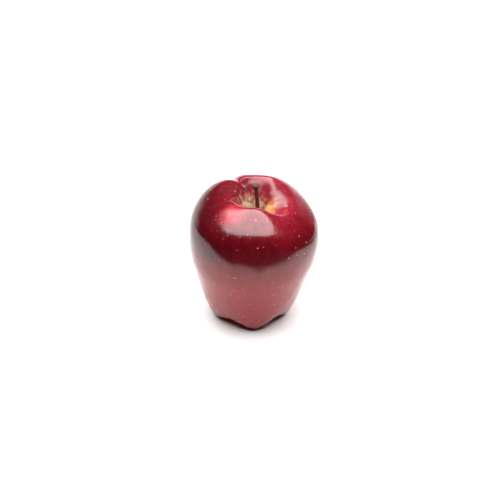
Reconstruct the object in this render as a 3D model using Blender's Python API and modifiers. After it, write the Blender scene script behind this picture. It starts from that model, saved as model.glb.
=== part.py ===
"""A five-lobed, conical red apple, standing on the lobes of its calyx end with its stem up.

Metres, +Z up. The floor is z = 0, the front of the apple faces -Y, and the fruit's box is
centred over the origin. The fruit is a turned body whose lobes are then raised on it. The woody
stem stands in a pit at the bottom of the stem cavity, and the dried sepals and stamens of the
flower sit in the basin underneath.
"""
import math

import bpy
import numpy as np

MM = 0.001

# The fruit, as it would be turned before it has lobes.
RIM_HEIGHT = 83.9 * MM  # floor to the rim of the stem cavity
RIM_RADIUS = 17.6 * MM
CAVITY_DEPTH = 17.0 * MM
SHOULDER_RADIUS = 31.8 * MM
SHOULDER_DROP = 6.6 * MM  # below the rim
CHEEK_RADIUS = 39.1 * MM
CHEEK_HEIGHT = 66.0 * MM
FLANK_RADIUS = 38.9 * MM
FLANK_HEIGHT = 45.5 * MM
WAIST_RADIUS = 34.8 * MM
WAIST_HEIGHT = 31.6 * MM
HEEL_RADIUS = 25.7 * MM
HEEL_HEIGHT = 5.5 * MM
FOOT_RADIUS = 19.4 * MM  # circle that the five feet stand on
BASIN_RADIUS = 8.5 * MM
BASIN_DEPTH = 11.5 * MM

# The five lobes, each from its middle: turned from the one before it by a fifth of a circle.
FIRST_LOBE_BEARING = 272.5  # degrees from +X, so the first lobe is at the front
FOOT_REACH = (1.04, 0.96, 1.00, 1.00, 1.06)  # how far out each foot stands
RIM_RISE = (0.0, -8.5 * MM, 0.9 * MM, 2.6 * MM, -4.0 * MM)  # low on the right
RIM_REACH = (0.8 * MM, 4.5 * MM, 1.7 * MM, 0.0, -2.5 * MM)  # the cavity is wide on the right
CHEEK_PUSH = (-0.5 * MM, 0.5 * MM, 0.0, 0.0, -2.9 * MM)
FOOT_VALLEY = 4.5 * MM  # how far the skin is raised between two feet
FOOT_WAIST = 0.3 * MM  # how far it is drawn in there
SHOULDER_VALLEY = 0.7 * MM
FOOT_PRESS = 0.6 * MM  # how deep the feet are pressed flat by the fruit's weight

# One deeper groove that runs over the shoulder into the cavity, behind and to the left.
GROOVE_BEARING = 122.0
GROOVE_DEPTH = 2.4 * MM
GROOVE_SPREAD = 12.5  # degrees to each side

# The core leans: the cavity is off the fruit's axis, towards +X.
CAVITY_SHIFT = 3.4 * MM
FRUIT_LEAN = 0.004  # sideways per unit of height

# The stem, woody, with a knob where it broke from the spur.
STEM_RADIUS = 1.25 * MM
STEM_FOOT_RADIUS = 1.7 * MM
STEM_LENGTH = 22.4 * MM
STEM_LEAN = (-1.1 * MM, 1.0 * MM)  # of its top end from its foot, in X and Y
KNOB_RADIUS = 2.3 * MM
KNOB_LENGTH = 3.0 * MM

# The dried flower in the basin.
SEPAL_LENGTH = 9.0 * MM
SEPAL_WIDTH = 3.6 * MM
SEPAL_THICKNESS = 0.5 * MM
SEPAL_RING_RADIUS = 3.4 * MM  # where the sepals stand round the tuft
TUFT_RADIUS = 1.5 * MM
TUFT_LENGTH = 5.0 * MM

GAP = 0.3 * MM  # between any two neighbouring pieces

PROFILE_POINTS = 62
TURN_STEPS = 70


def natural_spline(knots, count):
    """Points evenly spread along a natural cubic spline through the knots."""
    knots = np.array(knots)
    spans = np.sqrt(np.linalg.norm(np.diff(knots, axis=0), axis=1))
    places = np.concatenate(([0.0], np.cumsum(spans)))
    system = np.eye(len(knots))
    bend = np.zeros_like(knots)
    for i in range(1, len(knots) - 1):
        before, after = spans[i - 1], spans[i]
        system[i, i - 1 : i + 2] = before, 2 * (before + after), after
        rise_after = (knots[i + 1] - knots[i]) / after
        rise_before = (knots[i] - knots[i - 1]) / before
        bend[i] = 6 * (rise_after - rise_before)
    bend = np.linalg.solve(system, bend)
    wanted = np.linspace(0.0, places[-1], count)
    span = np.clip(np.searchsorted(places, wanted) - 1, 0, len(spans) - 1)
    width = spans[span][:, None]
    past = (wanted - places[span])[:, None]
    left = width - past
    curved = bend[span] * left**3 + bend[span + 1] * past**3
    straight_left = (knots[span] / width - bend[span] * width / 6) * left
    straight_right = (knots[span + 1] / width - bend[span + 1] * width / 6) * past
    return curved / (6 * width) + straight_left + straight_right


def half_outline():
    """The turned fruit's (radius, height) points, from the cavity's pit down to the basin."""
    floor = RIM_HEIGHT - CAVITY_DEPTH
    return [
        (0.0, floor),
        (STEM_FOOT_RADIUS + 3 * GAP, floor),
        (0.40 * RIM_RADIUS, floor + 0.32 * CAVITY_DEPTH),
        (0.70 * RIM_RADIUS, floor + 0.76 * CAVITY_DEPTH),
        (RIM_RADIUS, RIM_HEIGHT),
        (SHOULDER_RADIUS, RIM_HEIGHT - SHOULDER_DROP),
        (CHEEK_RADIUS, CHEEK_HEIGHT),
        (FLANK_RADIUS, FLANK_HEIGHT),
        (WAIST_RADIUS, WAIST_HEIGHT),
        (HEEL_RADIUS, HEEL_HEIGHT),
        (FOOT_RADIUS, 0.0),
        (0.45 * FOOT_RADIUS + 0.55 * BASIN_RADIUS, 0.22 * BASIN_DEPTH),
        (BASIN_RADIUS, 0.58 * BASIN_DEPTH),
        (0.45 * BASIN_RADIUS, 0.93 * BASIN_DEPTH),
        (0.0, BASIN_DEPTH),
    ]


def ease(x):
    """Goes smoothly from 0 at x = 0 to 1 at x = 1, and stays there."""
    x = np.clip(x, 0.0, 1.0)
    return x * x * (3 - 2 * x)


def angle_from(bearing, middle):
    """Signed angle in degrees from one bearing to another, the short way round."""
    return (bearing - middle + 180.0) % 360.0 - 180.0


def by_lobe(values, bearing):
    """One value per lobe, blended round the fruit so that each holds at its lobe's middle."""
    spacing = 360.0 / len(values)
    total = np.zeros_like(bearing)
    for i, value in enumerate(values):
        off = angle_from(bearing, FIRST_LOBE_BEARING + i * spacing)
        share = np.where(np.abs(off) < spacing, np.cos(np.radians(off / spacing * 90)) ** 2, 0.0)
        total += value * share
    return total


def raise_lobes(radius, height, bearing):
    """Where a point of the turned body goes once the fruit has its lobes, groove and lean."""
    turn = np.radians(len(FOOT_REACH) * (bearing - FIRST_LOBE_BEARING))
    valley = 0.5 - 0.5 * np.cos(turn)
    near_floor = ease(1 - height / (0.55 * RIM_HEIGHT))
    near_rim = ease((height / RIM_HEIGHT - 0.35) / 0.65)
    off_axis = ease(radius / (0.8 * FOOT_RADIUS))
    outside = ease(radius / (0.9 * RIM_RADIUS))
    belly = np.sin(math.pi * np.clip(height / RIM_HEIGHT, 0, 1))

    out = radius * (1 + (by_lobe(FOOT_REACH, bearing) - 1) * near_floor)
    out -= FOOT_WAIST * valley * near_floor * off_axis
    out += by_lobe(CHEEK_PUSH, bearing) * belly * outside * near_rim
    on_rim = np.exp(-(((radius - RIM_RADIUS) / (0.5 * RIM_RADIUS)) ** 2)) * near_rim
    out += by_lobe(RIM_REACH, bearing) * on_rim
    out -= 0.6 * SHOULDER_VALLEY * valley * near_rim * outside
    up = height + FOOT_VALLEY * valley * near_floor**2 * off_axis
    up += by_lobe(RIM_RISE, bearing) * near_rim**2 * outside
    up -= SHOULDER_VALLEY * valley * near_rim**3 * outside

    groove = np.exp(-((angle_from(bearing, GROOVE_BEARING) / GROOVE_SPREAD) ** 2))
    groove *= near_rim**3 * outside * GROOVE_DEPTH
    up -= groove
    out -= 0.4 * groove

    angle = np.radians(bearing)
    inside_rim = 1 - ease(radius / (1.3 * RIM_RADIUS))
    x = out * np.cos(angle) + FRUIT_LEAN * height + CAVITY_SHIFT * inside_rim * near_rim
    y = out * np.sin(angle)
    z = np.maximum(up - FOOT_PRESS, 0.0)
    return np.stack([x, y, z], axis=-1)


def make_material(name, color, roughness):
    """A Principled material with the piece's plain colour and roughness."""
    material = bpy.data.materials.new(name)
    material.use_nodes = True
    shader = material.node_tree.nodes["Principled BSDF"]
    shader.inputs["Base Color"].default_value = (*color, 1.0)
    shader.inputs["Roughness"].default_value = roughness
    return material


def add_piece(name, data, material):
    """Links a piece into the apple's collection, under its empty."""
    piece = bpy.data.objects.new(name, data)
    data.materials.append(material)
    apple.objects.link(piece)
    piece.parent = apple_frame
    return piece


def turn_profile(name, points, steps):
    """The evaluated mesh of a profile of (radius, height) points turned once round Z."""
    profile = bpy.data.meshes.new(name)
    corners = [(radius, 0.0, height) for radius, height in points]
    edges = [(i, i + 1) for i in range(len(corners) - 1)]
    profile.from_pydata(corners, edges, [])
    turned = bpy.data.objects.new(name, profile)
    apple.objects.link(turned)
    screw = turned.modifiers.new("Turn", "SCREW")
    screw.steps = steps
    screw.render_steps = steps
    screw.use_merge_vertices = True
    screw.merge_threshold = 0.00001
    graph = bpy.context.evaluated_depsgraph_get()
    mesh = bpy.data.meshes.new_from_object(turned.evaluated_get(graph))
    mesh.name = name
    bpy.data.objects.remove(turned)
    mesh.shade_smooth()
    return mesh


for old in list(bpy.data.objects):
    bpy.data.objects.remove(old)
apple = bpy.data.collections.new("apple")
bpy.context.scene.collection.children.link(apple)
apple_frame = bpy.data.objects.new("apple_frame", None)
apple.objects.link(apple_frame)

skin_red = make_material("skin", (0.28, 0.012, 0.018), 0.22)
bark_brown = make_material("bark", (0.10, 0.045, 0.025), 0.8)
dry_leaf = make_material("dry_leaf", (0.13, 0.085, 0.04), 0.85)

# The fruit. Its pit is wide enough for the stem's foot to stand in with a gap all round.
outline = natural_spline(half_outline(), PROFILE_POINTS)
outline[[0, -1], 0] = 0.0
fruit_mesh = turn_profile("fruit", outline.tolist(), TURN_STEPS)
turned_points = np.array([vertex.co for vertex in fruit_mesh.vertices])
lobed_points = raise_lobes(
    np.hypot(turned_points[:, 0], turned_points[:, 1]),
    turned_points[:, 2],
    np.degrees(np.arctan2(turned_points[:, 1], turned_points[:, 0])),
)
for vertex, point in zip(fruit_mesh.vertices, lobed_points):
    vertex.co = point
fruit = add_piece("fruit", fruit_mesh, skin_red)
lowest, highest = lobed_points.min(axis=0), lobed_points.max(axis=0)
apple_frame.location = (-(lowest[0] + highest[0]) / 2, -(lowest[1] + highest[1]) / 2, 0.0)

# The stem: a tapering, slightly bowed tube from the pit to the knob.
pit_height = RIM_HEIGHT - CAVITY_DEPTH
pit = raise_lobes(np.array([0.0]), np.array([pit_height]), np.array([0.0]))[0]
stem_curve = bpy.data.curves.new("stem", "CURVE")
stem_curve.dimensions = "3D"
stem_curve.bevel_depth = STEM_RADIUS
stem_curve.bevel_resolution = 3
stem_curve.use_fill_caps = True
stations = [  # share of the length, share of the lean, radius
    (0.0, 0.0, STEM_FOOT_RADIUS),
    (0.12, 0.0, STEM_RADIUS),
    (0.40, 0.10, STEM_RADIUS),
    (0.65, 0.42, STEM_RADIUS),
    (1.0 - KNOB_LENGTH / STEM_LENGTH, 0.80, STEM_RADIUS),
    (1.0 - 0.55 * KNOB_LENGTH / STEM_LENGTH, 0.92, 0.92 * KNOB_RADIUS),
    (1.0 - 0.20 * KNOB_LENGTH / STEM_LENGTH, 0.98, KNOB_RADIUS),
    (1.0, 1.0, 0.6 * KNOB_RADIUS),
]
path = stem_curve.splines.new("POLY")
path.points.add(len(stations) - 1)
for point, (along, lean, radius) in zip(path.points, stations):
    point.co = (
        pit[0] + lean * STEM_LEAN[0],
        pit[1] + lean * STEM_LEAN[1],
        pit[2] + GAP + along * STEM_LENGTH,
        1.0,
    )
    point.radius = radius / STEM_RADIUS
stem = add_piece("stem", stem_curve, bark_brown)

# The tuft of dried stamens hangs from the middle of the basin.
basin = raise_lobes(np.array([0.0]), np.array([BASIN_DEPTH]), np.array([0.0]))[0]
tuft_top = basin[2] - GAP
tuft_outline = [
    (0.0, tuft_top),
    (0.6 * TUFT_RADIUS, tuft_top - 0.08 * TUFT_LENGTH),
    (TUFT_RADIUS, tuft_top - 0.4 * TUFT_LENGTH),
    (0.75 * TUFT_RADIUS, tuft_top - 0.75 * TUFT_LENGTH),
    (0.0, tuft_top - TUFT_LENGTH),
]
tuft_mesh = turn_profile("stamen_tuft", tuft_outline, 16)
tuft = add_piece("stamen_tuft", tuft_mesh, dry_leaf)
tuft.location = (basin[0], basin[1], 0.0)

# Five sepals stand round the tuft: narrow leaves that hang down and curl outwards at the tip.
# Each one's broad end is a gap below the basin's skin at the place where it stands.
sepal_rows = [  # share of the length, share of the width, how far out, share of the length down
    (0.0, 0.75, 0.00, 0.00),
    (0.25, 1.00, 0.02, 0.25),
    (0.5, 0.85, 0.10, 0.48),
    (0.75, 0.55, 0.24, 0.66),
    (1.0, 0.12, 0.44, 0.72),
]
basin_line = outline[outline[:, 1] < BASIN_DEPTH + GAP][::-1]
ring_height = np.interp(SEPAL_RING_RADIUS, basin_line[:, 0], basin_line[:, 1])
for number in range(1, 6):
    bearing = FIRST_LOBE_BEARING + 36.0 + 72.0 * number
    stands_on = raise_lobes(
        np.array([SEPAL_RING_RADIUS]), np.array([ring_height]), np.array([bearing])
    )[0]
    sepal_top = stands_on[2] - GAP - SEPAL_THICKNESS
    corners = []
    for along, wide, outwards, down in sepal_rows:
        for side in (-0.5, 0.0, 0.5):
            bow = 0.35 * SEPAL_WIDTH * wide * (0.5 - abs(side))
            corners.append(
                (
                    SEPAL_RING_RADIUS + outwards * SEPAL_LENGTH + bow,
                    side * wide * SEPAL_WIDTH,
                    sepal_top - down * SEPAL_LENGTH,
                )
            )
    faces = []
    for row in range(len(sepal_rows) - 1):
        for column in range(2):
            first = 3 * row + column
            faces.append((first, first + 3, first + 4, first + 1))
    leaf = bpy.data.meshes.new(f"sepal_{number}")
    leaf.from_pydata(corners, [], faces)
    leaf.shade_smooth()
    sepal = add_piece(f"sepal_{number}", leaf, dry_leaf)
    thicken = sepal.modifiers.new("Thickness", "SOLIDIFY")
    thicken.thickness = SEPAL_THICKNESS
    thicken.offset = 0.0
    rounded = sepal.modifiers.new("Soft edges", "SUBSURF")
    rounded.levels = 1
    rounded.render_levels = 1
    sepal.location = (basin[0], basin[1], 0.0)
    sepal.rotation_euler = (0.0, 0.0, math.radians(bearing))
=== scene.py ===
import math

import bmesh
import bpy
import numpy as np
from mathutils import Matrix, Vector, noise


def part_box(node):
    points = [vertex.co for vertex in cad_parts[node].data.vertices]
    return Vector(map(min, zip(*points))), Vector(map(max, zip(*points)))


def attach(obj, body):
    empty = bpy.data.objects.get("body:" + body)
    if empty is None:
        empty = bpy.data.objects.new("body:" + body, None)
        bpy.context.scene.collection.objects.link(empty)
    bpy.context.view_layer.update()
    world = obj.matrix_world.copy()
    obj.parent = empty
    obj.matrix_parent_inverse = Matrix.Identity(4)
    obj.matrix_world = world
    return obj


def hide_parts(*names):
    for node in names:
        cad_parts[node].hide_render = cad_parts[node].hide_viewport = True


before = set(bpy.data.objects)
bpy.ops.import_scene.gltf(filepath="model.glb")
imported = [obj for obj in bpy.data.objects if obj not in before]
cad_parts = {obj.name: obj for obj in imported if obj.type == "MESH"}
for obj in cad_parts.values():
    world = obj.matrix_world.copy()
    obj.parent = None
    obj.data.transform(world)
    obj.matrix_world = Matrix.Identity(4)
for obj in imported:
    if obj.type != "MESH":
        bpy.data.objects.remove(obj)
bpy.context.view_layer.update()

# ---------------------------------------------------------------------------------------
# The fruit: skin and flesh grown as one body, standing on five lobes. The thin skin is taut
# and waxed, deep crimson, with streaks that run from stem to calyx and small pale breathing
# pores. Round the stem it turns tan and green, and it is puckered round the calyx.
# ---------------------------------------------------------------------------------------
PUCKER_DEPTH = 0.0005
PUCKER_COUNT = 17
PUCKER_RADIUS = 0.0065  # where the folds are deepest
PUCKER_REACH = 0.0045
DIMPLE_DEPTH = 0.00022  # the skin's slow swells and hollows
DIMPLE_SIZE = 0.016
FLAT_HEIGHT = 0.0004  # below this the feet are kept flat
FREE_HEIGHT = 0.006
BASIN_REACH = 0.02
BASIN_TOP = 0.002  # the folds stop this far above the stamens
PIT_REACH = 0.0025  # the skin beside the stem is left as it is this far out
PIT_EDGE = 0.0065
CORE_HEIGHT = 0.045  # the streaks fan out round this point of the core
# The skin is a little fuller than its plain shape in two places beside the cavity: how
# far, over what reach, and where.
FULLNESS = (
    (0.0027, 0.0080, Vector((-0.0105, -0.0080, 0.080))),
    (0.0018, 0.0070, Vector((0.0085, 0.0040, 0.074))),
)
SKIN_DEEP = (0.046, 0.0010, 0.0028, 1.0)
SKIN_RED = (0.088, 0.0014, 0.0044, 1.0)
# Painted highlight: the red of the brighter patch in the left part of the front shoulder's highlight, and
# where it sits.
SKIN_PAINTED_HIGHLIGHT = (0.360, 0.0160, 0.0320, 1.0)
PAINTED_HIGHLIGHT_PLACE = (-0.0120, -0.0185, 0.0790)
# Painted shade: the darker red laid on the left shoulder.
SKIN_PAINTED_SHADE = (0.028, 0.0010, 0.0026, 1.0)
SKIN_PALE = (0.300, 0.0180, 0.0230, 1.0)
SKIN_LOW = (0.235, 0.0050, 0.0085, 1.0)
SKIN_BRIGHT = (0.270, 0.0145, 0.0280, 1.0)
RUSSET_TAN = (0.44, 0.34, 0.21, 1.0)
RUSSET_GREEN = (0.25, 0.23, 0.11, 1.0)
FLARE_YELLOW = (0.72, 0.36, 0.11, 1.0)
PORE_PALE = (0.40, 0.12, 0.13, 1.0)


def only(piece):
    """Makes this piece the one that operators act on."""
    bpy.ops.object.select_all(action="DESELECT")
    bpy.context.view_layer.objects.active = piece
    piece.select_set(True)


def apply_modifier(piece, kind, **settings):
    """Adds a modifier with these settings and applies it."""
    only(piece)
    modifier = piece.modifiers.new(kind.title(), kind)
    for name, value in settings.items():
        setattr(modifier, name, value)
    bpy.ops.object.modifier_apply(modifier=modifier.name)


def merged_copy(node, name):
    """A copy of a CAD node's mesh with its loose triangles joined up."""
    piece = bpy.data.objects.new(name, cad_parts[node].data.copy())
    bpy.context.scene.collection.objects.link(piece)
    piece.data.materials.clear()
    only(piece)
    bpy.ops.object.mode_set(mode="EDIT")
    bpy.ops.mesh.select_all(action="SELECT")
    bpy.ops.mesh.remove_doubles(threshold=0.00002)
    bpy.ops.mesh.tris_convert_to_quads(face_threshold=0.8, shape_threshold=0.8)
    bpy.ops.object.mode_set(mode="OBJECT")
    return piece


def shift_points(piece, movement):
    """Moves every point by what movement(point, normal) gives; all are read before any moves."""
    points = [(vertex.co.copy(), vertex.normal.copy()) for vertex in piece.data.vertices]
    moved = np.empty(3 * len(points))
    for index, (point, normal) in enumerate(points):
        moved[3 * index : 3 * index + 3] = point + movement(point, normal)
    piece.data.vertices.foreach_set("co", moved)
    piece.data.update()


def ring_centre(node, share):
    """The middle of a CAD node's points near a height, given as a share of its box."""
    low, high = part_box(node)
    height = low.z + share * (high.z - low.z)
    reach = 0.04 * (high.z - low.z)
    near = [v.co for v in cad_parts[node].data.vertices if abs(v.co.z - height) <= reach]
    return sum(near, Vector()) / len(near)


def smooth_step(value, start, end):
    """0 up to start and 1 from end on, smooth between them."""
    share = np.clip((value - start) / (end - start), 0.0, 1.0)
    return share * share * (3 - 2 * share)


pit = ring_centre("stem", 0.0)
tuft_low, tuft_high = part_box("stamen_tuft")
calyx = Vector(((tuft_low.x + tuft_high.x) / 2, (tuft_low.y + tuft_high.y) / 2, tuft_high.z))

fruit = merged_copy("fruit", "apple_fruit")
apply_modifier(fruit, "SUBSURF", levels=2, render_levels=2)
fruit.data.shade_smooth()


def skin_movement(point, normal):
    """Slow swells, the folds round the calyx, and the fuller skin beside the cavity."""
    swell = noise.noise(point / DIMPLE_SIZE) + 0.4 * noise.noise(point / (0.4 * DIMPLE_SIZE))
    above_floor = float(smooth_step(point.z, FLAT_HEIGHT, FREE_HEIGHT))
    push = DIMPLE_DEPTH * swell * above_floor
    from_calyx = math.hypot(point.x - calyx.x, point.y - calyx.y)
    if point.z < calyx.z + BASIN_TOP and from_calyx < BASIN_REACH:
        bearing = math.atan2(point.y - calyx.y, point.x - calyx.x)
        ring = math.exp(-(((from_calyx - PUCKER_RADIUS) / PUCKER_REACH) ** 2))
        uneven = noise.noise(Vector((math.cos(bearing), math.sin(bearing), 0.0)) * 2.3)
        push += PUCKER_DEPTH * ring * math.sin(PUCKER_COUNT * bearing + 2.2 * uneven)
    rise = 0.0
    for height, reach, middle in FULLNESS:
        rise += height * math.exp(-0.5 * ((point - middle).length / reach) ** 2)
    from_stem = math.hypot(point.x - pit.x, point.y - pit.y)
    rise *= float(smooth_step(from_stem, PIT_REACH, PIT_EDGE))
    return normal * push + Vector((0.0, 0.0, rise))


shift_points(fruit, skin_movement)


def add(nodes, kind, x, y, **settings):
    """A new node at a place in the editor, with these settings."""
    node = nodes.new(kind)
    node.location = (x, y)
    for name, value in settings.items():
        setattr(node, name, value)
    return node


def arithmetic(tree, operation, first, second, x, y):
    """A Math node on two sockets or numbers; returns its output."""
    node = add(tree.nodes, "ShaderNodeMath", x, y, operation=operation)
    for place, value in enumerate((first, second)):
        if isinstance(value, (int, float)):
            node.inputs[place].default_value = value
        elif value is not None:
            tree.links.new(value, node.inputs[place])
    return node.outputs[0]


def spread(tree, value, low, high, to_low, to_high, x, y):
    """Maps a value's range smoothly onto another; returns the output."""
    node = add(tree.nodes, "ShaderNodeMapRange", x, y, interpolation_type="SMOOTHSTEP")
    tree.links.new(value, node.inputs["Value"])
    node.inputs["From Min"].default_value = low
    node.inputs["From Max"].default_value = high
    node.inputs["To Min"].default_value = to_low
    node.inputs["To Max"].default_value = to_high
    return node.outputs["Result"]


def blend_colors(tree, share, first, second, x, y):
    """A Mix node between two colours or sockets; returns its output."""
    node = add(tree.nodes, "ShaderNodeMix", x, y, data_type="RGBA")
    for place, value in ((0, share), (6, first), (7, second)):
        if isinstance(value, (int, float, tuple)):
            node.inputs[place].default_value = value
        else:
            tree.links.new(value, node.inputs[place])
    return node.outputs[2]


def speckle(tree, vector, scale, detail, x, y, roughness=0.5, distortion=0.0):
    """A Noise node on these coordinates; returns its value, near 0.5."""
    node = add(tree.nodes, "ShaderNodeTexNoise", x, y)
    tree.links.new(vector, node.inputs["Vector"])
    node.inputs["Scale"].default_value = scale
    node.inputs["Detail"].default_value = detail
    node.inputs["Roughness"].default_value = roughness
    node.inputs["Distortion"].default_value = distortion
    return node.outputs["Fac"]


def new_material(name):
    """A material with its tree, its Principled shader and its Object coordinates."""
    material = bpy.data.materials.new(name)
    material.use_nodes = True
    tree = material.node_tree
    place = add(tree.nodes, "ShaderNodeTexCoord", -2400, 0)
    return material, tree, tree.nodes["Principled BSDF"], place.outputs["Object"]


skin, tree, shader, place = new_material("waxed_apple_skin")
from_core = add(tree.nodes, "ShaderNodeMapping", -2200, 0)
core = Vector(((pit.x + calyx.x) / 2, (pit.y + calyx.y) / 2, CORE_HEIGHT))
from_core.inputs["Location"].default_value = -core
tree.links.new(place, from_core.inputs["Vector"])
split = add(tree.nodes, "ShaderNodeSeparateXYZ", -2000, 0)
tree.links.new(from_core.outputs[0], split.inputs[0])
flat = add(tree.nodes, "ShaderNodeCombineXYZ", -1800, 100)
tree.links.new(split.outputs["X"], flat.inputs["X"])
tree.links.new(split.outputs["Y"], flat.inputs["Y"])
bearing = add(tree.nodes, "ShaderNodeVectorMath", -1600, 100, operation="NORMALIZE")
tree.links.new(flat.outputs[0], bearing.inputs[0])
length = add(tree.nodes, "ShaderNodeVectorMath", -1600, -50, operation="LENGTH")
tree.links.new(flat.outputs[0], length.inputs[0])
# The angle from the stem, round the core: 0 at the stem, 90 degrees at the cheek.
polar = arithmetic(tree, "ARCTAN2", length.outputs["Value"], split.outputs["Z"], -1400, -50)
polar = arithmetic(tree, "MULTIPLY", polar, 180 / math.pi, -1200, -50)
bearing_split = add(tree.nodes, "ShaderNodeSeparateXYZ", -1400, 250)
tree.links.new(bearing.outputs[0], bearing_split.inputs[0])
grain = add(tree.nodes, "ShaderNodeCombineXYZ", -1000, 150)
tree.links.new(bearing_split.outputs["X"], grain.inputs["X"])
tree.links.new(bearing_split.outputs["Y"], grain.inputs["Y"])
tree.links.new(arithmetic(tree, "MULTIPLY", polar, 0.008, -1200, 150), grain.inputs["Z"])

broad = speckle(tree, place, 38.0, 2.0, -800, 500, 0.5)
streaks = speckle(tree, grain.outputs[0], 7.0, 4.0, -800, 300, 0.6, 0.3)
fine_streaks = speckle(tree, grain.outputs[0], 34.0, 3.0, -800, 100, 0.6, 0.2)
mottle = speckle(tree, place, 420.0, 3.0, -800, -100, 0.6)

depth = arithmetic(tree, "ADD", spread(tree, broad, 0.3, 0.7, -0.25, 0.25, -600, 500), 0.5, -400, 500)
streak_part = spread(tree, streaks, 0.3, 0.7, -0.3, 0.3, -600, 300)
depth = arithmetic(tree, "ADD", depth, streak_part, -200, 500)
tone = blend_colors(tree, spread(tree, depth, 0.0, 1.0, 0.0, 1.0, 0, 500), SKIN_DEEP, SKIN_RED, 200, 500)

# Lighter towards the floor, with pale streaks in it.
low_share = spread(tree, split.outputs["Z"], 0.018, -0.012, 0.0, 0.9, -600, -100)
tone = blend_colors(tree, low_share, tone, SKIN_LOW, 300, 500)
pale_streaks = spread(tree, fine_streaks, 0.34, 0.70, 0.0, 0.40, 100, 650)
pale_streaks = arithmetic(tree, "MULTIPLY", pale_streaks, low_share, 300, 700)
tone = blend_colors(tree, pale_streaks, tone, SKIN_PALE, 400, 600)
# Brighter streaks show most on the shoulders, down into the cavity and on the right.
near_top = spread(tree, polar, 20.0, 62.0, 1.0, 0.05, -600, -250)
bright_share = spread(tree, fine_streaks, 0.28, 0.74, 0.15, 0.95, -600, 100)
bright_share = arithmetic(tree, "MULTIPLY", bright_share, near_top, -300, 100)
to_right = spread(tree, split.outputs["X"], -0.016, 0.018, 0.35, 1.0, -600, -400)
bright_share = arithmetic(tree, "MULTIPLY", bright_share, to_right, -100, 100)
tone = blend_colors(tree, bright_share, tone, SKIN_BRIGHT, 400, 400)
tone = blend_colors(tree, spread(tree, mottle, 0.35, 0.75, 0.0, 0.22, 200, -100), tone, SKIN_DEEP, 600, 400)
# Painted shade: darker on the left shoulder, where less light falls.
painted_shade_side = spread(tree, split.outputs["X"], -0.033, -0.010, 0.8, 0.0, 500, 600)
painted_shade_height = spread(tree, split.outputs["Z"], 0.004, 0.022, 0.0, 1.0, 300, 650)
painted_shade_side = arithmetic(tree, "MULTIPLY", painted_shade_side, painted_shade_height, 600, 600)
tone = blend_colors(tree, painted_shade_side, tone, SKIN_PAINTED_SHADE, 700, 500)
# Painted highlight: a patch of brighter red on the shoulder left of the front lobe, which makes the left
# part of the highlight there pinker.
to_painted_highlight = add(tree.nodes, "ShaderNodeVectorMath", -600, 800, operation="DISTANCE")
tree.links.new(place, to_painted_highlight.inputs[0])
to_painted_highlight.inputs[1].default_value = PAINTED_HIGHLIGHT_PLACE
painted_highlight = spread(tree, to_painted_highlight.outputs["Value"], 0.012, 0.001, 0.0, 0.7, -400, 800)
tone = blend_colors(tree, painted_highlight, tone, SKIN_PAINTED_HIGHLIGHT, 800, 500)

# Tan and green round the stem, with an uneven edge and a yellow flare on the right.
edge = arithmetic(tree, "ADD", polar, spread(tree, fine_streaks, 0.3, 0.7, -0.9, 0.9, 0, -250), 200, -250)
edge = arithmetic(tree, "ADD", edge, spread(tree, mottle, 0.3, 0.7, -1.8, 1.8, 0, -400), 350, -250)
green_share = spread(tree, mottle, 0.4, 0.6, 0.0, 1.0, 200, -550)
russet = blend_colors(tree, green_share, RUSSET_TAN, RUSSET_GREEN, 400, -550)
flare_side = spread(tree, bearing_split.outputs["X"], 0.82, 1.0, 0.0, 0.9, 0, -700)
flare_ring = spread(tree, edge, 27.0, 15.0, 0.0, 1.0, 500, -700)
flare = arithmetic(tree, "MULTIPLY", flare_side, flare_ring, 700, -700)
tone = blend_colors(tree, flare, tone, FLARE_YELLOW, 800, 300)
tone = blend_colors(tree, spread(tree, edge, 19.0, 7.5, 0.0, 0.92, 600, -350), tone, russet, 1000, 200)

# Paler in the hollow round the calyx.
wander = spread(tree, fine_streaks, 0.3, 0.7, -3.0, 3.0, 0, -1100)
basin_edge = arithmetic(tree, "ADD", polar, wander, 200, -1100)
basin_share = spread(tree, basin_edge, 160.0, 175.0, 0.0, 0.75, 400, -1100)
tone = blend_colors(tree, basin_share, tone, RUSSET_GREEN, 1100, 300)

# Breathing pores: small pale dots at uneven distances.
pores = add(tree.nodes, "ShaderNodeTexVoronoi", -800, -900, feature="F1")
tree.links.new(place, pores.inputs["Vector"])
pores.inputs["Scale"].default_value = 265.0
# Some pores are half as wide as others.
pore_size = spread(tree, pores.outputs["Color"], 0.0, 1.0, 0.75, 2.6, -500, -1050)
pore_reach = arithmetic(tree, "MULTIPLY", pores.outputs["Distance"], pore_size, -300, -900)
dot = spread(tree, pore_reach, 0.08, 0.17, 0.7, 0.0, -100, -900)
tone = blend_colors(tree, dot, tone, PORE_PALE, 1200, 100)
tree.links.new(tone, shader.inputs["Base Color"])

wax = spread(tree, mottle, 0.3, 0.7, 0.12, 0.18, 1000, -400)
rough_russet = spread(tree, edge, 17.0, 8.0, 0.0, 0.35, 800, -500)
tree.links.new(arithmetic(tree, "ADD", wax, rough_russet, 1200, -400), shader.inputs["Roughness"])
shader.inputs["IOR"].default_value = 1.48
bump = add(tree.nodes, "ShaderNodeBump", 1200, -700)
bump.inputs["Strength"].default_value = 0.16
bump.inputs["Distance"].default_value = 0.0002
relief = arithmetic(tree, "MULTIPLY", mottle, 0.5, 800, -800)
relief = arithmetic(tree, "ADD", relief, fine_streaks, 1000, -800)
tree.links.new(relief, bump.inputs["Height"])
tree.links.new(bump.outputs["Normal"], shader.inputs["Normal"])
fruit.data.materials.append(skin)
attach(fruit, "root")
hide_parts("fruit")

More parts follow.
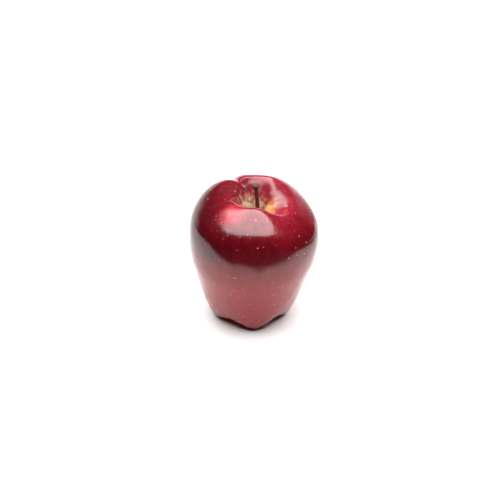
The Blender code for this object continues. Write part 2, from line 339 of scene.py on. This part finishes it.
# ---------------------------------------------------------------------------------------
# The stem: a woody stalk left on when the fruit was picked. Thin brown bark, reddened by
# the skin beside it, with fine ridges along it and a broken, knobbed end.
# ---------------------------------------------------------------------------------------
BARK_RED = (0.105, 0.0085, 0.0110, 1.0)
BARK_BROWN = (0.060, 0.0150, 0.0100, 1.0)
BARK_PALE = (0.060, 0.034, 0.022, 1.0)
KNOB_START = 0.0040  # below the stem's top
KNOB_BLEND = 0.0015
KNOB_PALE_REACH = 0.0028
RIDGE_DEPTH = 0.00013
KNOB_LUMP = 0.00042
SCAR_DEPTH = 0.0005
SCAR_RADIUS = 0.0017


stem = merged_copy("stem", "apple_stem")
apply_modifier(stem, "SUBSURF", subdivision_type="SIMPLE", levels=1, render_levels=1)
apply_modifier(stem, "SUBSURF", levels=3, render_levels=3)
stem.data.shade_smooth()
stem_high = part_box("stem")[1]
stem_top = ring_centre("stem", 1.0)


def bark_movement(point, normal):
    """Ridges along the bark, lumps on the knob and a dished scar on its end."""
    below_top = stem_high.z - point.z
    on_knob = 1 - float(smooth_step(below_top, KNOB_START, KNOB_START + KNOB_BLEND))
    ridges = noise.noise(Vector((point.x * 1500, point.y * 1500, point.z * 190)))
    ridges += 0.5 * noise.noise(Vector((point.x * 3300, point.y * 3300, point.z * 900)))
    lumps = noise.noise(point * 620) + 0.5 * noise.noise(point * 1500)
    push = RIDGE_DEPTH * ridges + KNOB_LUMP * on_knob * lumps
    from_axis = math.hypot(point.x - stem_top.x, point.y - stem_top.y)
    on_end = float(smooth_step(normal.z, 0.5, 0.95)) * on_knob
    dish = SCAR_DEPTH * on_end * math.exp(-((from_axis / (0.6 * SCAR_RADIUS)) ** 2))
    return normal * push - Vector((0.0, 0.0, dish))


shift_points(stem, bark_movement)

bark, tree, shader, place = new_material("stem_bark")
split = add(tree.nodes, "ShaderNodeSeparateXYZ", -2000, 0)
tree.links.new(place, split.inputs[0])
along = add(tree.nodes, "ShaderNodeMapping", -2000, 300)
along.inputs["Scale"].default_value = (1.0, 1.0, 0.12)
tree.links.new(place, along.inputs["Vector"])
fibre = speckle(tree, along.outputs[0], 1500.0, 4.0, -1700, 300, 0.6)
patch = speckle(tree, place, 420.0, 3.0, -1700, 100, 0.6)
fleck = speckle(tree, place, 1500.0, 3.0, -1700, -100, 0.6)
brown_share = spread(tree, patch, 0.35, 0.65, 0.0, 1.0, -1400, 100)
tone = blend_colors(tree, brown_share, BARK_RED, BARK_BROWN, -1100, 200)
tone = blend_colors(tree, spread(tree, fibre, 0.4, 0.7, 0.0, 0.5, -1400, 300), tone, BARK_BROWN, -900, 200)
knob_low = stem_high.z - KNOB_START
knob_share = spread(tree, split.outputs["Z"], knob_low, knob_low + KNOB_PALE_REACH, 0.0, 1.0, -1400, -300)
pale_flecks = spread(tree, fleck, 0.35, 0.62, 0.1, 1.0, -1400, -100)
knob_share = arithmetic(tree, "MULTIPLY", knob_share, pale_flecks, -1100, -200)
tone = blend_colors(tree, knob_share, tone, BARK_PALE, -700, 200)
tree.links.new(tone, shader.inputs["Base Color"])
tree.links.new(spread(tree, fibre, 0.3, 0.7, 0.55, 0.8, -700, -200), shader.inputs["Roughness"])
bump = add(tree.nodes, "ShaderNodeBump", -500, -400)
bump.inputs["Strength"].default_value = 0.7
bump.inputs["Distance"].default_value = 0.00015
tree.links.new(arithmetic(tree, "ADD", fibre, fleck, -700, -400), bump.inputs["Height"])
tree.links.new(bump.outputs["Normal"], shader.inputs["Normal"])
shader.inputs["Specular IOR Level"].default_value = 0.25
stem.data.materials.append(bark)
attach(stem, "root")
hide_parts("stem")

# ---------------------------------------------------------------------------------------
# The sepals: the five leaves of the flower, dried on in the hollow underneath. Each is a
# thin brown scrap, curled and wrinkled, grey with down on its outer side.
# ---------------------------------------------------------------------------------------
LEAF_BROWN = (0.085, 0.042, 0.022, 1.0)
LEAF_GREY = (0.27, 0.22, 0.16, 1.0)
WRINKLE_DEPTH = 0.00022

leaf, tree, shader, place = new_material("dried_leaf")
vein = speckle(tree, place, 900.0, 4.0, -1700, 200, 0.6, 0.6)
down = speckle(tree, place, 3200.0, 2.0, -1700, 0, 0.6)
grey_share = spread(tree, vein, 0.35, 0.65, 0.0, 0.8, -1400, 200)
tone = blend_colors(tree, grey_share, LEAF_BROWN, LEAF_GREY, -1100, 200)
tone = blend_colors(tree, spread(tree, down, 0.5, 0.75, 0.0, 0.5, -1400, 0), tone, LEAF_GREY, -900, 200)
tree.links.new(tone, shader.inputs["Base Color"])
tree.links.new(spread(tree, vein, 0.3, 0.7, 0.65, 0.9, -700, -100), shader.inputs["Roughness"])
bump = add(tree.nodes, "ShaderNodeBump", -500, -300)
bump.inputs["Strength"].default_value = 0.8
bump.inputs["Distance"].default_value = 0.0002
tree.links.new(vein, bump.inputs["Height"])
tree.links.new(bump.outputs["Normal"], shader.inputs["Normal"])


def wrinkle(point, normal):
    """Small folds in a dried scrap of leaf."""
    folds = noise.noise(point * 700) + 0.5 * noise.noise(point * 1700)
    return normal * (WRINKLE_DEPTH * folds)


for number in range(1, 6):
    node = f"sepal_{number}"
    sepal = merged_copy(node, f"apple_{node}")
    apply_modifier(sepal, "SUBSURF", levels=2, render_levels=2)
    sepal.data.shade_smooth()
    shift_points(sepal, wrinkle)
    sepal.data.materials.append(leaf)
    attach(sepal, "root")
    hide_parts(node)

# ---------------------------------------------------------------------------------------
# The stamens: the dried middle of the flower, a short style with a ring of brown threads
# round it, each ending in a shrivelled bead.
# ---------------------------------------------------------------------------------------
THREAD_COUNT = 15
THREAD_RADIUS = 0.00016
THREAD_STEPS = 5
BEAD_RADIUS = 0.0003
BEAD_FLATNESS = 0.7
THREAD_RING = 0.00105
THREAD_ROOT = 0.0006  # below the top of the tuft
THREAD_SPREAD = 0.0009  # how far a thread leans out at its tip

stamens = merged_copy("stamen_tuft", "apple_stamens")
apply_modifier(stamens, "SUBSURF", levels=2, render_levels=2)
stamens.data.shade_smooth()
shift_points(stamens, wrinkle)
tuft_length = tuft_high.z - tuft_low.z
chance = np.random.default_rng(11)
# One thread with its bead is made, hanging down from the origin, and the rest are copies.
step_length = tuft_length / THREAD_STEPS
bpy.ops.object.select_all(action="DESELECT")
bpy.ops.mesh.primitive_cylinder_add(
    vertices=8, radius=THREAD_RADIUS, depth=step_length, end_fill_type="NGON", location=(0, 0, 0)
)
first = bpy.context.object
bpy.ops.object.mode_set(mode="EDIT")
for _ in range(THREAD_STEPS - 1):
    bpy.ops.mesh.select_all(action="DESELECT")
    form = bmesh.from_edit_mesh(first.data)
    lowest = min(face.calc_center_median().z for face in form.faces)
    for face in form.faces:
        face.select = face.normal.z < -0.9 and face.calc_center_median().z < lowest + 1e-6
    bmesh.update_edit_mesh(first.data)
    bpy.ops.mesh.extrude_region_move(TRANSFORM_OT_translate={"value": (0, 0, -step_length)})
bpy.ops.object.mode_set(mode="OBJECT")
thread_top = step_length / 2
bpy.ops.mesh.primitive_uv_sphere_add(segments=10, ring_count=6, radius=BEAD_RADIUS, location=(0, 0, 0))
bead = bpy.context.object
for vertex in bead.data.vertices:
    vertex.co.z = BEAD_FLATNESS * vertex.co.z + thread_top - tuft_length
bpy.ops.object.select_all(action="DESELECT")
bead.select_set(True)
first.select_set(True)
bpy.context.view_layer.objects.active = first
bpy.ops.object.join()
first.data.shade_smooth()
threads = [first]
for _ in range(THREAD_COUNT - 1):
    again = first.copy()
    again.data = first.data.copy()
    bpy.context.scene.collection.objects.link(again)
    threads.append(again)
for number, thread in enumerate(threads):
    turn = 2 * math.pi * (number + chance.uniform(-0.3, 0.3)) / THREAD_COUNT
    length = chance.uniform(0.8, 1.05)
    bend = chance.uniform(-0.0005, 0.0005)
    out = Vector((math.cos(turn), math.sin(turn), 0.0))
    side = Vector((-out.y, out.x, 0.0))
    for vertex in thread.data.vertices:
        below = (thread_top - vertex.co.z) / tuft_length
        vertex.co.z = thread_top - length * (thread_top - vertex.co.z)
        lean = out * (THREAD_RING + THREAD_SPREAD * below**2) + side * (bend * below**2)
        vertex.co += lean + Vector((calyx.x, calyx.y, calyx.z - THREAD_ROOT))
bpy.ops.object.select_all(action="DESELECT")
for part in threads:
    part.select_set(True)
stamens.select_set(True)
bpy.context.view_layer.objects.active = stamens
bpy.ops.object.join()
stamens.data.materials.append(leaf)
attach(stamens, "root")
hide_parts("stamen_tuft")

# ---------------------------------------------------------------------------------------
# The floor, the lights and the camera: a white table in front of a white sweep, under one
# wide oval softbox. A dark card on the table and two small flags over the fruit are
# seen only in its gloss, and the card's edge fades out towards the fruit.
# ---------------------------------------------------------------------------------------
FLOOR_HALF_WIDTH = 2.0
FLOOR_BACK = 1.2
TABLE_COLOR = (0.65, 0.645, 0.64)
SWEEP_COLOR = (0.2, 0.2, 0.2)
CARD_COLOR = (0.01, 0.01, 0.01)
SWEEP_LEFT = -1.9
SWEEP_RIGHT = 1.0
SWEEP_PLACE = 0.95  # how far behind the fruit it stands
SWEEP_HEIGHT = 0.45


def stage_plane(name, corners, color, glow=0.0):
    """A flat stage surface through these corners, plain or glowing."""
    mesh = bpy.data.meshes.new(name)
    mesh.from_pydata(corners, [], [tuple(range(len(corners)))])
    surface = bpy.data.objects.new(name, mesh)
    bpy.context.scene.collection.objects.link(surface)
    finish = bpy.data.materials.new(name + "_finish")
    finish.use_nodes = True
    face = finish.node_tree.nodes["Principled BSDF"]
    face.inputs["Base Color"].default_value = (*color, 1.0)
    face.inputs["Roughness"].default_value = 0.9
    face.inputs["Specular IOR Level"].default_value = 0.0
    face.inputs["Emission Color"].default_value = (1.0, 1.0, 1.0, 1.0)
    face.inputs["Emission Strength"].default_value = glow
    mesh.materials.append(finish)
    return surface


def level_corners(left, right, front, back, height):
    """The corners of a level rectangle at a height."""
    return [(left, front, height), (right, front, height), (right, back, height), (left, back, height)]


def glow_by(surface, glow):
    """Lets a socket set how strongly a stage surface glows."""
    tree = surface.data.materials[0].node_tree
    tree.links.new(glow, tree.nodes["Principled BSDF"].inputs["Emission Strength"])


def clear_by(surface, share):
    """Lets a socket set how clear a stage surface is, and keeps it to reflections only."""
    tree = surface.data.materials[0].node_tree
    clear = add(tree.nodes, "ShaderNodeBsdfTransparent", -100, -300)
    fade = add(tree.nodes, "ShaderNodeMixShader", 200, 0)
    tree.links.new(share, fade.inputs[0])
    tree.links.new(tree.nodes["Principled BSDF"].outputs[0], fade.inputs[1])
    tree.links.new(clear.outputs[0], fade.inputs[2])
    tree.links.new(fade.outputs[0], tree.nodes["Material Output"].inputs["Surface"])
    surface.visible_camera = False
    surface.visible_diffuse = False
    surface.visible_shadow = False


W = FLOOR_HALF_WIDTH
table = stage_plane("table", level_corners(-W, W, -W, FLOOR_BACK, 0), TABLE_COLOR)
# Far from the fruit the table is lit as brightly as it is close by.
tree = table.data.materials[0].node_tree
where = add(tree.nodes, "ShaderNodeTexCoord", -900, -200)
reach = add(tree.nodes, "ShaderNodeVectorMath", -700, -200, operation="LENGTH")
tree.links.new(where.outputs["Object"], reach.inputs[0])
glow_by(table, spread(tree, reach.outputs["Value"], 0.30, 0.85, 0.0, 1.1, -500, -200))

sweep_corners = [
    (SWEEP_LEFT, SWEEP_PLACE, 0),
    (SWEEP_RIGHT, SWEEP_PLACE, 0),
    (SWEEP_RIGHT, SWEEP_PLACE, SWEEP_HEIGHT),
    (SWEEP_LEFT, SWEEP_PLACE, SWEEP_HEIGHT),
]
sweep = stage_plane("sweep", sweep_corners, SWEEP_COLOR)
sweep.visible_camera = False
tree = sweep.data.materials[0].node_tree
where = add(tree.nodes, "ShaderNodeTexCoord", -1300, -200)
split = add(tree.nodes, "ShaderNodeSeparateXYZ", -1100, -200)
tree.links.new(where.outputs["Object"], split.inputs[0])
glow = spread(tree, split.outputs["X"], -1.85, -0.9, 0.0, 1.6, -900, 0)
right_fade = spread(tree, split.outputs["X"], 0.3, 0.95, 1.0, 0.0, -900, -200)
top_fade = spread(tree, split.outputs["Z"], 0.2, SWEEP_HEIGHT, 1.0, 0.0, -900, -400)
glow = arithmetic(tree, "MULTIPLY", glow, right_fade, -700, 0)
glow_by(sweep, arithmetic(tree, "MULTIPLY", glow, top_fade, -500, 0))

CARD_HEIGHT = 0.001
CARD_DARK_FROM = -0.145
CARD_FADE_END = -0.103
CARD_CURVE = 0.12
CARD_SIDE_FROM = 0.17  # on the right the card wraps round towards the back
CARD_SIDE_DARK = 0.40
CARD_BACK_FADE = 0.05
CARD_BACK = 0.50

card = stage_plane("dark_card", level_corners(-W, W, -W, CARD_BACK, CARD_HEIGHT), CARD_COLOR)
tree = card.data.materials[0].node_tree
where = add(tree.nodes, "ShaderNodeTexCoord", -900, -200)
split = add(tree.nodes, "ShaderNodeSeparateXYZ", -700, -200)
tree.links.new(where.outputs["Object"], split.inputs[0])
aside = arithmetic(tree, "ABSOLUTE", split.outputs["X"], None, -1100, -100)
aside = arithmetic(tree, "MULTIPLY", aside, CARD_CURVE, -900, -100)
ahead = arithmetic(tree, "SUBTRACT", split.outputs["Y"], aside, -700, -100)
front_gap = spread(tree, ahead, CARD_DARK_FROM, CARD_FADE_END, 0.0, 1.0, -500, -100)
side_gap = spread(tree, split.outputs["X"], CARD_SIDE_FROM, CARD_SIDE_DARK, 1.0, 0.0, -500, -350)
back_gap = spread(tree, split.outputs["Y"], CARD_BACK_FADE, CARD_BACK, 0.0, 1.0, -500, -550)
side_gap = arithmetic(tree, "MAXIMUM", side_gap, back_gap, -400, -400)
clear_by(card, arithmetic(tree, "MULTIPLY", front_gap, side_gap, -300, -200))

FLAG_SOFTNESS = 0.65  # the share of a flag's half size where it starts to fade


def flag(name, centre, half_width, half_depth):
    """A small black flag that keeps a light's reflection off one shoulder of the fruit."""
    cloth = stage_plane(name, level_corners(-half_width, half_width, -half_depth, half_depth, 0), CARD_COLOR)
    cloth.location = centre
    tree = cloth.data.materials[0].node_tree
    where = add(tree.nodes, "ShaderNodeTexCoord", -1100, -200)
    split = add(tree.nodes, "ShaderNodeSeparateXYZ", -900, -200)
    tree.links.new(where.outputs["Object"], split.inputs[0])
    across = arithmetic(tree, "ABSOLUTE", split.outputs["X"], None, -700, -100)
    along = arithmetic(tree, "ABSOLUTE", split.outputs["Y"], None, -700, -300)
    across = spread(tree, across, FLAG_SOFTNESS * half_width, half_width, 0.0, 1.0, -500, -100)
    along = spread(tree, along, FLAG_SOFTNESS * half_depth, half_depth, 0.0, 1.0, -500, -300)
    clear_by(cloth, arithmetic(tree, "MAXIMUM", across, along, -300, -200))
    cloth.visible_transmission = False


flag("left_flag", (-0.0165, 0.0125, 0.093), 0.0225, 0.0120)
flag("right_flag", (0.0225, 0.0155, 0.090), 0.0140, 0.0145)

ROOM_GLOW = 0.03
BACKDROP_GLOW = 1.5

# The room is nearly dark, and the wall behind the table is white.
world = bpy.data.worlds.new("studio")
bpy.context.scene.world = world
world.use_nodes = True
sky = world.node_tree
room = sky.nodes["Background"]
room.inputs["Color"].default_value = (0.5, 0.48, 0.5, 1.0)
room.inputs["Strength"].default_value = ROOM_GLOW
backdrop = add(sky.nodes, "ShaderNodeBackground", 0, -200)
backdrop.inputs["Strength"].default_value = BACKDROP_GLOW
ray = add(sky.nodes, "ShaderNodeLightPath", 0, 300)
choose = add(sky.nodes, "ShaderNodeMixShader", 300, 0)
sky.links.new(ray.outputs["Is Camera Ray"], choose.inputs[0])
sky.links.new(room.outputs[0], choose.inputs[1])
sky.links.new(backdrop.outputs[0], choose.inputs[2])
sky.links.new(choose.outputs[0], sky.nodes["World Output"].inputs["Surface"])

BOX_HEIGHT = 0.70


def softbox(name, shape, place, width, depth, radiance, color):
    """A flat soft light at a place, facing straight down, as bright as asked all over."""
    lamp = bpy.data.lights.new(name, "AREA")
    lamp.shape = shape
    lamp.size = width
    lamp.size_y = depth
    area = width * depth * (math.pi / 4 if shape == "ELLIPSE" else 1.0)
    lamp.energy = radiance * math.pi * area
    lamp.color = color
    light = bpy.data.objects.new(name, lamp)
    bpy.context.scene.collection.objects.link(light)
    light.location = place
    light.visible_camera = False
    return light


# A narrow light behind on the left is seen only in gloss, and one oval softbox lights all.
side_light = softbox("left_back", "RECTANGLE", (-0.58, 0.36, BOX_HEIGHT), 0.14, 0.32, 7.5, (1.0, 0.95, 0.95))
side_light.visible_diffuse = False
softbox("overhead", "ELLIPSE", (0.03, 0.11, BOX_HEIGHT), 1.34, 1.14, 8.5, (1.0, 0.985, 0.985))

CAMERA_AIM = Vector((0.0, 0.0, 0.04))
CAMERA_DISTANCE = 0.70
CAMERA_TILT = math.radians(33.5)

camera_data = bpy.data.cameras.new("camera")
camera = bpy.data.objects.new("camera", camera_data)
bpy.context.scene.collection.objects.link(camera)
to_camera = Vector((0.0, -math.cos(CAMERA_TILT), math.sin(CAMERA_TILT)))
camera.location = CAMERA_AIM + CAMERA_DISTANCE * to_camera
camera.rotation_euler = (math.pi / 2 - CAMERA_TILT, 0.0, 0.0)
camera_data.lens = 82.7
camera_data.shift_x = -0.008
camera_data.shift_y = 0.009
bpy.context.scene.camera = camera
bpy.context.scene.view_settings.view_transform = "Standard"
